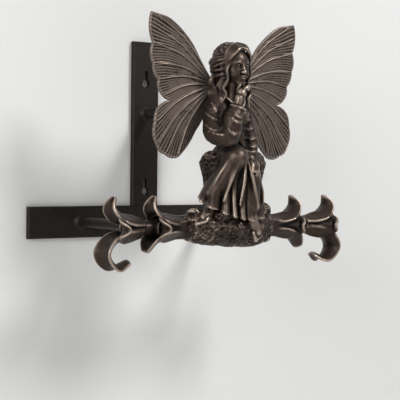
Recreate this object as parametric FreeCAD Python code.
import FreeCAD, Part
import math
import os
from FreeCAD import Vector

# Wall-mounted hose hanger: a welded flat-bar bracket, three round arms and a cast garden fairy.
# Millimetres. The wall is the plane y = 0, the front looks along -y, and z = 0 is the arms' height.

# Wall bracket of flat bar
BAR_WIDTH = 32.0
BAR_THICKNESS = 5.0
BAR_EDGE_BREAK = 0.8
CROSSBAR_LENGTH = 280.0
UPRIGHT_LENGTH = 171.0

# Keyholes in the upright
KEYHOLE_ENTRY_RADIUS = 4.5
KEYHOLE_SLOT_WIDTH = 4.4
KEYHOLE_RISE = 11.2
LOWER_KEYHOLE_ABOVE_CROSSBAR = 14.5
KEYHOLE_SPACING = 113.0

# Arms that carry the hose
ARM_DIAMETER = 10.0
ARM_SPACING = 159.0
UPPER_ARM_HEIGHT = 112.0
WELD_LEG = 3.0
STANDOFF = 139.0
BOSS_RADIUS = 8.0
BRANCH_BOSS_DEPTH = 15.0
BACK_BOSS_DEPTH = 14.0

# Branch that ends in two bell flowers on each side
STEM_RADIUS = 10.2
BELL_RADIUS = 12.2
NECK_RADIUS = 6.5
OUTER_BELL_RADIUS = 9.0
INNER_FLOWER_BASE = 56.0
OUTER_FLOWER_BASE = 101.0
PETAL_THICKNESS = 4.2
PETAL_SAG = 0.45
PETAL_SECTIONS = 8
FLARED_SIZE = (30.0, 29.0, 13.5)
FRONT_SIZE = (28.0, 23.0, 13.0)
SCROLL_SIZE = (37.5, 34.5, 12.0)
FLARED_PATH = [(0.0, 0.20), (0.45, 0.32), (0.80, 0.47), (1.0, 0.70), (0.92, 0.98)]
FLARED_WIDTHS = [0.55, 0.85, 1.0, 0.85, 0.22]
DROOPING_PATH = [(0.0, 0.20), (0.5, 0.32), (0.95, 0.47), (1.2, 0.76)]
DROOPING_WIDTHS = [0.55, 0.8, 0.95, 0.8, 0.25]
SCROLL_PATH = [(0.0, 0.12), (0.42, 0.21), (0.78, 0.36), (1.0, 0.68), (0.76, 0.99), (0.40, 0.88)]
SCROLL_WIDTHS = [0.5, 0.85, 1.0, 1.0, 0.85, 0.4]

# Mossy rock under the figure
ROCK_HALF_LENGTH = 50.0
ROCK_HALF_DEPTH = 25.0
ROCK_HALF_HEIGHT = 16.5
ROCK_FORWARD = 12.0
ROCK_LUMP = 0.06
BOULDER_HALF_WIDTH = 35.0
BOULDER_HALF_DEPTH = 21.0
BOULDER_FORWARD = 6.0
BOULDER_OFFSET = 4.0
BOULDER_RISE = 11.0

# Seated figure
SEAT_HEIGHT = 60.0
LEAN_TO_RIGHT = 3.5
TORSO_LENGTH = 64.0
HIP_HALF_WIDTH = 24.0
WAIST_HALF_WIDTH = 17.0
CHEST_HALF_WIDTH = 18.5
CHEST_HALF_DEPTH = 13.2
BACK_CLEARANCE = 0.4
NECK_LENGTH = 10.0
HEAD_HEIGHT = 39.0
HEAD_HALF_WIDTH = 15.0
CROWN_BUDS = 12
CROWN_BUD_RADIUS = 3.4
SLEEVE_RADIUS = 9.8
SLEEVE_ROLLS = 5
SLEEVE_ROLL_DEPTH = 0.05
WRIST_RADIUS = 5.2
KNEE_FORWARD = 26.0
KNEE_RADIUS = 11.5
SKIRT_HALF_WIDTH = 34.0
SKIRT_HALF_DEPTH = 23.0
SKIRT_FORWARD = 17.0
SKIRT_OFFSET = 5.0
SKIRT_RISE = 10.0
SKIRT_FOLD_DEPTH = 3.2
HEM_HEIGHT = 18.7
HEM_FALL_ACROSS = 0.19
HEM_FALL_FORWARD = 0.38
ANKLE_RADIUS = 5.2
TOE_RADIUS = 3.2

# Wings, one plate casting each
WING_THICKNESS = 3.0
WING_SEAT_INSET = 2.0
WING_SEAT_RADIUS = 6.0
WING_SEAT_OFFSET = 16.0
WING_SEAT_HEIGHT = 118.0
WING_ROOT_OFFSET = 14.0
WING_ROOT_HEIGHT = 137.0
WING_SPAN = 74.0
WING_RISE = 64.0
WING_DROP = 71.0
VEIN_RADIUS = 1.4
VEIN_TIP_RADIUS = 0.7
VEIN_START = 0.36


# Shared construction helpers

END_ROUNDING = [(0.85, 0.42), (0.5, 0.82)]


def at(x, forward, z):
    """A point given by its distance in front of the branch's axis."""
    return Vector(x, -STANDOFF - forward, z)


def turned(count):
    """Cosine and sine of evenly spaced turns."""
    return [
        (math.cos(2 * math.pi * i / count), math.sin(2 * math.pi * i / count))
        for i in range(count)
    ]


def level_ring(centre, half_x, half_forward, count=10):
    """Oval of points in a level plane."""
    return [centre + Vector(half_x * c, half_forward * s, 0) for c, s in turned(count)]


def cross_ring(centre, half_forward, half_z, count=10):
    """Oval of points in a plane across the branch."""
    return [centre + Vector(0, half_forward * c, half_z * s) for c, s in turned(count)]


def round_ring(centre, direction, radius, count=8):
    """Circle of points square to a direction."""
    across = direction.cross(Vector(1, 0, 0))
    across.normalize()
    other = direction.cross(across)
    other.normalize()
    return [centre + across * (radius * c) + other * (radius * s) for c, s in turned(count)]


def skin(rings):
    """Solid with one smooth side through equal rings of points, and a flat face at each end."""
    around = [float(i) for i in range(len(rings[0]) + 1)]
    along = [0.0]
    for low, high in zip(rings, rings[1:]):
        step = sum((q - p).Length for p, q in zip(low, high)) / len(low)
        along.append(along[-1] + step)
    nets = []
    for ring in rings:
        curve = Part.BSplineCurve()
        curve.interpolate(Points=ring, Parameters=around, PeriodicFlag=True)
        nets.append(curve.getPoles())
    columns = []
    for line in zip(*nets):
        column = Part.BSplineCurve()
        column.interpolate(Points=list(line), Parameters=along)
        columns.append(column)
    side = Part.BSplineSurface()
    side.buildFromPolesMultsKnots(
        [column.getPoles() for column in columns],
        curve.getMultiplicities(), columns[0].getMultiplicities(),
        curve.getKnots(), columns[0].getKnots(),
        True, False, curve.Degree, columns[0].Degree,
    )
    face = side.toShape()
    ends = [Part.Face(Part.Wire([edge])) for edge in face.Edges if edge.isClosed()]
    shell = Part.Shell([face] + ends)
    shell.sewShape()
    body = Part.Solid(shell.Shells[0])
    if body.Volume < 0:
        body.reverse()
    return body


def limb(points, radii):
    """Round limb through the points, with rounded ends."""
    first = (points[1] - points[0]).normalize()
    last = (points[-1] - points[-2]).normalize()
    rings = []
    for back, share in END_ROUNDING:
        rings.append(round_ring(points[0] - first * radii[0] * back, first, radii[0] * share))
    for i, (point, radius) in enumerate(zip(points, radii)):
        before = points[max(i - 1, 0)]
        after = points[min(i + 1, len(points) - 1)]
        rings.append(round_ring(point, (after - before).normalize(), radius))
    for back, share in reversed(END_ROUNDING):
        rings.append(round_ring(points[-1] + last * radii[-1] * back, last, radii[-1] * share))
    return skin(rings)


def ovoid(centre, half_x, half_forward, half_z):
    """Egg-smooth lump with its long way up, and a small flat above and below."""
    rings = []
    for angle in (-78, -50, -18, 18, 50, 78):
        share = math.cos(math.radians(angle))
        level = centre + Vector(0, 0, half_z * math.sin(math.radians(angle)))
        rings.append(level_ring(level, half_x * share, half_forward * share, 8))
    return skin(rings)


def mirrored(shape):
    """The other side's copy, across x = 0."""
    return shape.mirror(Vector(0, 0, 0), Vector(1, 0, 0))


def fused(shapes):
    """One solid from pieces that run into one another."""
    whole = shapes[0]
    for shape in shapes[1:]:
        whole = whole.fuse(shape)
    return whole


# Wall bracket

def keyhole(height):
    """Cutter for one keyhole whose entry is centred at this height."""
    depth = BAR_THICKNESS * 3
    start = BAR_THICKNESS
    back = Vector(0, -1, 0)
    entry = Part.makeCylinder(KEYHOLE_ENTRY_RADIUS, depth, Vector(0, start, height), back)
    half_slot = KEYHOLE_SLOT_WIDTH / 2
    top = Part.makeCylinder(half_slot, depth, Vector(0, start, height + KEYHOLE_RISE), back)
    slot = Part.makeBox(
        KEYHOLE_SLOT_WIDTH, depth, KEYHOLE_RISE, Vector(-half_slot, start - depth, height)
    )
    return fused([entry, top, slot])


def front_edges(shape):
    """Straight edges round the face that looks away from the wall."""
    return [
        edge for edge in shape.Edges
        if all(abs(v.Point.y + BAR_THICKNESS) < 1e-6 for v in edge.Vertexes)
    ]


def crossbar():
    bar = Part.makeBox(
        CROSSBAR_LENGTH, BAR_THICKNESS, BAR_WIDTH,
        Vector(-CROSSBAR_LENGTH / 2, -BAR_THICKNESS, -BAR_WIDTH / 2),
    )
    return bar.makeChamfer(BAR_EDGE_BREAK, front_edges(bar))


def upright():
    foot = BAR_WIDTH / 2
    bar = Part.makeBox(
        BAR_WIDTH, BAR_THICKNESS, UPRIGHT_LENGTH, Vector(-BAR_WIDTH / 2, -BAR_THICKNESS, foot)
    )
    bar = bar.makeChamfer(BAR_EDGE_BREAK, front_edges(bar))
    lower = foot + LOWER_KEYHOLE_ABOVE_CROSSBAR
    return bar.cut(fused([keyhole(lower), keyhole(lower + KEYHOLE_SPACING)]))


def arm(x, height, boss_depth):
    """Round arm from the bar's face to the casting's boss, with a fillet weld at its root."""
    radius = ARM_DIAMETER / 2
    root = -BAR_THICKNESS
    end = -STANDOFF + boss_depth
    profile = Part.makePolygon([
        Vector(0, root, 0),
        Vector(radius + WELD_LEG, root, 0),
        Vector(radius, root - WELD_LEG, 0),
        Vector(radius, end, 0),
        Vector(0, end, 0),
        Vector(0, root, 0),
    ])
    rod = Part.Face(profile).revolve(Vector(0, 0, 0), Vector(0, 1, 0), 360)
    rod.translate(Vector(x, 0, height))
    return rod


# Branch with its flowers, drawn for the right-hand end

def petal_ring(middle, slope, half_width, roll):
    """Cupped strip section of a petal, square to the way the petal runs there.

    middle.x runs along the branch and middle.z away from it. roll turns the section about
    the branch: 0 is up, 90 is forward, 180 is down.
    """
    out = Vector(-slope.z, 0, slope.x)
    points = []
    for i in range(12):
        across = math.cos(2 * math.pi * i / 12)
        through = math.sin(2 * math.pi * i / 12)
        lift = PETAL_THICKNESS / 2 * through - PETAL_SAG * half_width * across ** 2
        points.append(middle + Vector(0, half_width * across, 0) + out * lift)
    turn = FreeCAD.Rotation(Vector(1, 0, 0), roll)
    return [turn.multVec(point) + at(0, 0, 0) for point in points]


def petal(base, path, widths, size, roll):
    """Petal along a path of (along, away) shares, with widths shared out evenly on its length."""
    length, reach, half_width = size
    line = Part.BSplineCurve()
    line.interpolate([Vector(base + a * length, 0, r * reach) for a, r in path])
    rings = []
    for i, middle in enumerate(line.discretize(PETAL_SECTIONS)):
        slope = line.tangent(line.parameter(middle))[0]
        place = i / (PETAL_SECTIONS - 1) * (len(widths) - 1)
        low = min(int(place), len(widths) - 2)
        share = widths[low] + (widths[low + 1] - widths[low]) * (place - low)
        rings.append(petal_ring(middle, slope, share * half_width, roll))
    return skin(rings)


def bell(sections):
    """Round stem that opens into a flower's bell, from its places along the branch and radii."""
    return skin([cross_ring(at(x, 0, 0), radius, radius) for x, radius in sections])


def flower_end():
    """Right-hand end of the branch: the inner bell, the outer bell, their petals and the boss."""
    mouth = INNER_FLOWER_BASE + 0.87 * FLARED_SIZE[0]
    tip = OUTER_FLOWER_BASE + 0.8 * FLARED_SIZE[0]
    inner = bell([
        (ROCK_HALF_LENGTH * 0.5, STEM_RADIUS), (INNER_FLOWER_BASE, STEM_RADIUS),
        (mouth - 1.15 * BELL_RADIUS, 0.5 * (STEM_RADIUS + BELL_RADIUS)), (mouth, BELL_RADIUS),
    ])
    outer = bell([
        (mouth - BELL_RADIUS, NECK_RADIUS), (OUTER_FLOWER_BASE, NECK_RADIUS),
        (tip - 1.33 * OUTER_BELL_RADIUS, 0.5 * (NECK_RADIUS + OUTER_BELL_RADIUS)),
        (tip, OUTER_BELL_RADIUS),
    ])
    boss = Part.makeCylinder(
        BOSS_RADIUS, BRANCH_BOSS_DEPTH, at(ARM_SPACING / 2, 0, 0), Vector(0, 1, 0)
    )
    pieces = [inner, outer, boss]
    for base in (INNER_FLOWER_BASE, OUTER_FLOWER_BASE):
        for size, roll in ((FLARED_SIZE, 0), (FRONT_SIZE, 90)):
            pieces.append(petal(base, FLARED_PATH, FLARED_WIDTHS, size, roll))
    pieces.append(petal(INNER_FLOWER_BASE, DROOPING_PATH, DROOPING_WIDTHS, FLARED_SIZE, 180))
    pieces.append(petal(OUTER_FLOWER_BASE, SCROLL_PATH, SCROLL_WIDTHS, SCROLL_SIZE, 180))
    return fused(pieces)


# Rock

ROCK_SECTIONS = [
    (-1.07, 0.2, 0.12, 0.0, 0.14),
    (-0.97, 0.3, 0.64, 0.0, 0.80),
    (-0.7, 0.8, 0.84, -0.1, 0.90),
    (-0.2, 1.0, 1.0, -0.15, 1.0),
    (0.35, 1.05, 1.0, -0.2, 1.0),
    (0.68, 0.8, 0.82, -0.1, 0.90),
    (0.90, 0.3, 0.64, 0.0, 0.80),
    (1.0, 0.2, 0.12, 0.0, 0.14),
]
BOULDER_SECTIONS = [(0.0, 1.0), (0.3, 0.93), (0.6, 0.94), (0.86, 1.08), (0.97, 0.96), (1.0, 0.62)]


def lumpy(ring, centre, phase):
    """The ring with shallow bulges, as a rough stone has."""
    result = []
    for i, point in enumerate(ring):
        bulge = 1 + ROCK_LUMP * math.sin(3 * 2 * math.pi * i / len(ring) + phase)
        result.append(centre + (point - centre) * bulge)
    return result


def rock():
    """Rock across the branch, the boulder she sits on, a ledge and a small stone beside them."""
    base = []
    for i, (x, forward, depth, z, height) in enumerate(ROCK_SECTIONS):
        centre = at(x * ROCK_HALF_LENGTH, forward * ROCK_FORWARD, z * ROCK_HALF_HEIGHT)
        ring = cross_ring(centre, depth * ROCK_HALF_DEPTH, height * ROCK_HALF_HEIGHT, 12)
        base.append(lumpy(ring, centre, 1.7 * i))
    seat = []
    top = SEAT_HEIGHT + BOULDER_RISE
    for i, (rise, size) in enumerate(BOULDER_SECTIONS):
        centre = at(BOULDER_OFFSET, BOULDER_FORWARD, rise * top)
        ring = level_ring(centre, size * BOULDER_HALF_WIDTH, size * BOULDER_HALF_DEPTH, 12)
        seat.append(lumpy(ring, centre, 2.3 * i))
    length = ROCK_HALF_LENGTH
    depth = ROCK_HALF_DEPTH
    height = ROCK_HALF_HEIGHT
    ledge = ovoid(
        at(-0.84 * length, 0.6 * ROCK_FORWARD, 0.42 * height),
        0.26 * length, 0.52 * depth, 0.42 * height,
    )
    stone = ovoid(
        at(0.8 * length, 0.6 * ROCK_FORWARD, 0.91 * height),
        0.18 * length, 0.4 * depth, 0.55 * height,
    )
    return fused([skin(base), skin(seat), ledge, stone])


# Figure

def clear_of_wings(half_depth):
    """Middle of a piece of this half depth whose back stays just clear of the wings' veins."""
    return half_depth - WING_SEAT_INSET + VEIN_RADIUS + BACK_CLEARANCE


def body_forward():
    """Middle of the trunk."""
    return clear_of_wings(CHEST_HALF_DEPTH)


def trunk():
    """Hips, waist, chest, shoulders and neck."""
    middle = body_forward()
    depth = CHEST_HALF_DEPTH
    sections = [
        (-0.10, HIP_HALF_WIDTH, depth * 1.25, 0.08),
        (0.15, HIP_HALF_WIDTH, depth * 1.2, 0.08),
        (0.45, WAIST_HALF_WIDTH, depth * 0.9, 0.0),
        (0.72, CHEST_HALF_WIDTH, depth, 0.0),
        (0.93, CHEST_HALF_WIDTH, depth * 0.78, -0.08),
        (1.03, CHEST_HALF_WIDTH * 0.55, depth * 0.62, -0.04),
        (1.10, HEAD_HALF_WIDTH * 0.55, HEAD_HALF_WIDTH * 0.52, 0.04),
        (1.26, HEAD_HALF_WIDTH * 0.5, HEAD_HALF_WIDTH * 0.5, 0.15),
    ]
    return skin([
        level_ring(
            at(-LEAN_TO_RIGHT, middle + shift * depth, SEAT_HEIGHT + share * TORSO_LENGTH),
            half_x, half_y,
        )
        for share, half_x, half_y, shift in sections
    ])


HEAD_SECTIONS = [
    (0.0, 0.22, 0.25, 0.70), (0.08, 0.46, 0.50, 0.48), (0.22, 0.68, 0.82, 0.22),
    (0.42, 0.86, 1.02, 0.08), (0.62, 1.0, 1.12, 0.0), (0.80, 0.90, 1.02, 0.0),
    (0.93, 0.58, 0.66, 0.0), (0.99, 0.22, 0.25, 0.0),
]
HAIR_SECTIONS = [
    (0.30, 0.90, 0.60, -0.45), (0.5, 1.20, 1.08, -0.40), (0.7, 1.24, 1.20, -0.30),
    (0.88, 1.06, 1.10, -0.22), (1.02, 0.66, 0.72, -0.18), (1.085, 0.22, 0.24, -0.16),
]
FALL_SECTIONS = [
    (0.45, 0.95, 0.36, -0.44), (0.1, 1.12, 0.42, -0.40),
    (-0.15, 0.9, 0.38, -0.34), (-0.32, 0.55, 0.3, -0.2),
]
LOCK_SECTIONS = [
    (0.66, 0.80, 0.05, 0.5), (0.42, 1.0, -0.05, 1.0), (0.15, 1.1, -0.05, 1.05),
    (-0.12, 0.96, 0.25, 1.0), (-0.36, 0.9, 0.5, 0.85), (-0.52, 0.78, 0.6, 0.35),
]


def head():
    """Pieces of the head: hair swept back, a fall of hair, two front locks and a crown of buds."""
    middle = body_forward()
    centre = -LEAN_TO_RIGHT
    chin = SEAT_HEIGHT + TORSO_LENGTH + NECK_LENGTH
    h = HEAD_HEIGHT
    w = HEAD_HALF_WIDTH
    pieces = [
        skin([
            level_ring(at(centre, middle + shift * w, chin + z * h), half_x * w, half_forward * w)
            for z, half_x, half_forward, shift in sections
        ])
        for sections in (HEAD_SECTIONS, HAIR_SECTIONS, FALL_SECTIONS)
    ]
    for side in (-1, 1):
        pieces.append(skin([
            level_ring(at(centre + side * x * w, middle + forward * w, chin + z * h),
                       0.3 * size * w, 0.42 * size * w, 8)
            for z, x, forward, size in LOCK_SECTIONS
        ]))
    pieces.append(limb([
        at(centre, middle + 1.02 * w, chin + 0.56 * h),
        at(centre, middle + 1.14 * w, chin + 0.38 * h),
    ], [0.09 * w, 0.13 * w]))
    for c, s in turned(CROWN_BUDS):
        pieces.append(Part.makeSphere(
            CROWN_BUD_RADIUS,
            at(centre + 1.05 * w * s, middle - 0.22 * w + 1.06 * w * c, chin + 0.88 * h),
        ))
    return pieces


def sleeve(points, radius, wrist):
    """Full sleeve along the points, gathered in soft rolls and narrowing to the wrist."""
    line = Part.BSplineCurve()
    line.interpolate(points)
    places = line.discretize(2 * SLEEVE_ROLLS + 1)
    radii = []
    for i in range(len(places)):
        narrowed = radius + (wrist - radius) * (i / (len(places) - 1)) ** 3
        radii.append(narrowed * (1 + SLEEVE_ROLL_DEPTH * (1 if i % 2 else -1)))
    return limb(places, radii)


def arms():
    """Pieces of both arms: her right one bent to the chin, her left hand laid on the knee."""
    z = SEAT_HEIGHT
    r = SLEEVE_RADIUS
    back = clear_of_wings(r * (1 + SLEEVE_ROLL_DEPTH))
    knee = KNEE_FORWARD
    right = -LEAN_TO_RIGHT - CHEST_HALF_WIDTH
    left = CHEST_HALF_WIDTH - LEAN_TO_RIGHT
    wrist = WRIST_RADIUS
    shoulder = TORSO_LENGTH * 0.93
    chin = TORSO_LENGTH + NECK_LENGTH
    upper = sleeve([
        at(0.95 * right, back, z + shoulder),
        at(1.14 * right, back + 0.3 * r, z + 0.74 * shoulder),
        at(1.18 * right, 0.77 * knee, z + 0.52 * shoulder),
        at(1.05 * right, 1.08 * knee, z + 0.39 * shoulder),
    ], r, 0.86 * r)
    fore = sleeve([
        at(right, 1.19 * knee, z + 0.37 * shoulder),
        at(0.74 * right, 1.23 * knee, z + 0.64 * shoulder),
        at(0.58 * right, 1.23 * knee, z + 0.87 * shoulder),
    ], 0.8 * r, 0.7 * r)
    hand = limb([
        at(0.57 * right, 1.23 * knee, z + 0.81 * shoulder),
        at(0.5 * right, 1.23 * knee, z + 0.8 * chin),
        at(0.4 * right, 1.19 * knee, z + 0.9 * chin),
        at(0.26 * right, 1.12 * knee, z + chin),
    ], [0.9 * wrist, 0.9 * wrist, 1.15 * wrist, 0.7 * wrist])
    bent = sleeve([
        at(0.93 * left, back, z + 0.94 * shoulder),
        at(0.96 * left, back, z + 0.7 * shoulder),
        at(1.07 * left, back + 0.15 * r, z + 0.54 * shoulder),
        at(1.17 * left, back + 0.45 * r, z + 0.35 * shoulder),
        at(left, 0.75 * knee, z + 0.16 * shoulder),
    ], 0.78 * r, wrist)
    palm = limb([
        at(0.87 * left, 0.83 * knee, z + 0.12 * shoulder),
        at(0.57 * left, 1.08 * knee, z - 0.01 * shoulder),
        at(0.27 * left, 1.23 * knee, z - 0.12 * shoulder),
    ], [0.85 * wrist, 0.95 * wrist, 0.7 * wrist])
    return [upper, fore, hand, bent, palm]


FOLD_TURNS = [-62, -32, -4, 24, 51, 78, 97, 114, 132, 158, 190, 216, 242, 270]
FOLD_SHAPE = [0.7, 0.2, -1.3, 0.2]


def skirt():
    """Long skirt hung over the shins: folds that deepen down to a slanting hem."""
    top = SEAT_HEIGHT + SKIRT_RISE
    turns = []
    steps = len(FOLD_SHAPE)
    for turn, following in zip(FOLD_TURNS, FOLD_TURNS[1:] + [FOLD_TURNS[0] + 360]):
        turns += [math.radians(turn + (following - turn) * i / steps) for i in range(steps)]
    rings = []
    for drop in (0.01, 0.08, 0.25, 0.5, 0.75, 1.0):
        half_x = SKIRT_HALF_WIDTH * drop ** 0.42
        half_y = SKIRT_HALF_DEPTH * drop ** 0.36
        raised = (1 - drop) ** 2
        ring = []
        for i, turn in enumerate(turns):
            fold = SKIRT_FOLD_DEPTH * max(1.25 * drop - 0.25, 0) * FOLD_SHAPE[i % steps]
            across = (half_x + fold) * math.cos(turn) - 0.11 * SKIRT_HALF_WIDTH * raised
            ahead = (half_y + fold) * math.sin(turn) + 0.39 * SKIRT_HALF_DEPTH * raised
            hem = HEM_HEIGHT - HEM_FALL_ACROSS * across - HEM_FALL_FORWARD * ahead
            ring.append(at(across - SKIRT_OFFSET, ahead + SKIRT_FORWARD, top + (hem - top) * drop))
        rings.append(ring)
    return skin(rings)


def legs():
    """Pieces of both legs: thighs and shins under the skirt, and bare feet below the hem."""
    z = SEAT_HEIGHT
    hip = HIP_HALF_WIDTH / 2
    middle = body_forward()
    k = KNEE_RADIUS
    knee = KNEE_FORWARD
    edge = SKIRT_HALF_WIDTH
    right_thigh = limb([
        at(-hip, middle, z + 0.7 * k),
        at(-1.08 * hip, 0.96 * knee, z + 0.6 * k),
        at(-1.08 * hip, 1.23 * knee, z + 0.52 * k),
    ], [1.1 * k, 1.05 * k, 0.95 * k])
    left_thigh = limb([
        at(hip, middle, z + 0.17 * k),
        at(0.83 * hip, 0.85 * knee, z - 0.52 * k),
        at(0.67 * hip, 1.08 * knee, z - 1.13 * k),
    ], [1.1 * k, 0.95 * k, 0.84 * k])
    right_shin = limb([
        at(-1.17 * hip, 1.19 * knee, z + 0.35 * k),
        at(-1.83 * hip, 1.04 * knee, z - 1.04 * k),
        at(-0.88 * edge, 0.77 * knee, z - 2.43 * k),
    ], [0.6 * k, 0.8 * k, 0.74 * k])
    left_shin = limb([
        at(0.67 * hip, 1.12 * knee, z - 1.3 * k),
        at(0.5 * hip, 1.27 * knee, z - 2.26 * k),
        at(0.42 * hip, 1.35 * knee, z - 3.48 * k),
    ], [0.56 * k, 0.66 * k, 0.56 * k])
    ankle = ANKLE_RADIUS
    sole = HEM_HEIGHT - 0.3 * ankle
    right_foot = limb([
        at(-0.92 * edge, SKIRT_FORWARD, sole + 1.9 * ankle),
        at(-1.02 * edge, SKIRT_FORWARD + 0.2 * ankle, sole - 0.4 * ankle),
        at(-1.24 * edge, SKIRT_FORWARD + 0.7 * ankle, sole - 1.7 * ankle),
        at(-1.42 * edge, SKIRT_FORWARD + 1.1 * ankle, sole - 2.7 * ankle),
    ], [ankle, ankle, 0.9 * ankle, TOE_RADIUS])
    front = SKIRT_FORWARD + SKIRT_HALF_DEPTH
    left_foot = limb([
        at(0.25 * hip, front - 1.2 * ankle, sole),
        at(0.42 * hip, front - 0.6 * ankle, sole - 2.5 * ankle),
        at(0.5 * hip, front - 0.2 * ankle, sole - 4.2 * ankle),
        at(0.58 * hip, front + 0.2 * ankle, sole - 5.4 * ankle),
    ], [ankle, ankle, 0.9 * ankle, TOE_RADIUS])
    return [right_thigh, left_thigh, right_shin, left_shin, right_foot, left_foot]


def seats():
    """Boss for the upper arm and the two flats that carry the wings."""
    inside = body_forward()
    wall_way = Vector(0, 1, 0)
    boss = Part.makeCylinder(
        BOSS_RADIUS, BACK_BOSS_DEPTH + inside, at(0, inside, UPPER_ARM_HEIGHT), wall_way
    )
    pad = Part.makeCylinder(
        WING_SEAT_RADIUS, inside + WING_SEAT_INSET,
        at(WING_SEAT_OFFSET, inside, WING_SEAT_HEIGHT), wall_way,
    )
    return [boss, pad, mirrored(pad)]


def casting():
    """Branch, rock and figure in one solid."""
    end = flower_end()
    ground = fused([rock(), end, mirrored(end)])
    return fused([ground, trunk(), skirt()] + legs() + arms() + head() + seats())


# Wings, drawn for the right-hand side

WING_LEADING_EDGE = [(-0.04, -0.04), (0.16, 0.25), (0.38, 0.625), (0.69, 0.914), (1.0, 1.0)]
WING_MARGIN = [
    (1.0, 1.0, 0.10), (0.98, 0.55, 0.12), (0.97, 0.25, 0.12), (0.885, 0.016, 0.14),
    (0.83, -0.18, 0.10), (0.716, -0.246, 0.20), (0.94, -0.55, 0.12), (0.90, -0.845, 0.16),
    (0.77, -0.965, 0.14), (0.56, -1.0, 0.05), (0.29, -0.65, 0.04), (0.11, -0.35, 0.0),
    (-0.04, -0.42, 0.0), (-0.04, -0.04, 0.0),
]
VEIN_ENDS = [
    (0.9, 0.95), (0.97, 0.78), (0.96, 0.55), (0.95, 0.26), (0.86, 0.03), (0.78, -0.17),
    (0.90, -0.52), (0.87, -0.8), (0.75, -0.92), (0.57, -0.95),
]


def on_wing(u, v):
    """Point on the wing's front face from its shares of span and height."""
    height = WING_RISE if v > 0 else WING_DROP
    return at(WING_ROOT_OFFSET + u * WING_SPAN, -WING_SEAT_INSET, WING_ROOT_HEIGHT + v * height)


def wing():
    """Thin plate with a scalloped margin and raised veins on its front."""
    leading = Part.BSplineCurve()
    leading.interpolate([on_wing(u, v) for u, v in WING_LEADING_EDGE])
    edges = [leading.toShape()]
    for (u, v, bulge), (next_u, next_v, _) in zip(WING_MARGIN, WING_MARGIN[1:]):
        start = on_wing(u, v)
        end = on_wing(next_u, next_v)
        if bulge:
            chord = end - start
            outward = Vector(-chord.z, 0, chord.x)
            middle = (start + end) / 2 + outward * bulge
            edges.append(Part.Arc(start, middle, end).toShape())
        else:
            edges.append(Part.LineSegment(start, end).toShape())
    plate = Part.Face(Part.Wire(edges)).extrude(Vector(0, WING_THICKNESS, 0))
    root = on_wing(0, 0)
    pieces = [plate]
    for u, v in VEIN_ENDS:
        run = on_wing(u, v) - root
        start = root + run * VEIN_START
        length = run.Length * (1 - VEIN_START)
        pieces.append(Part.makeCone(VEIN_RADIUS, VEIN_TIP_RADIUS, length, start, run))
    return fused(pieces)


if __name__ == "__main__":
    os.makedirs("parts", exist_ok=True)
    right_wing = wing()
    nodes = {
        "wall_crossbar": crossbar(),
        "wall_upright": upright(),
        "left_arm": arm(-ARM_SPACING / 2, 0, BRANCH_BOSS_DEPTH),
        "right_arm": arm(ARM_SPACING / 2, 0, BRANCH_BOSS_DEPTH),
        "upper_arm": arm(0, UPPER_ARM_HEIGHT, BACK_BOSS_DEPTH),
        "figure_casting": casting(),
        "left_wing": mirrored(right_wing),
        "right_wing": right_wing,
    }
    for name, shape in nodes.items():
        shape.exportStep("parts/" + name + ".step")
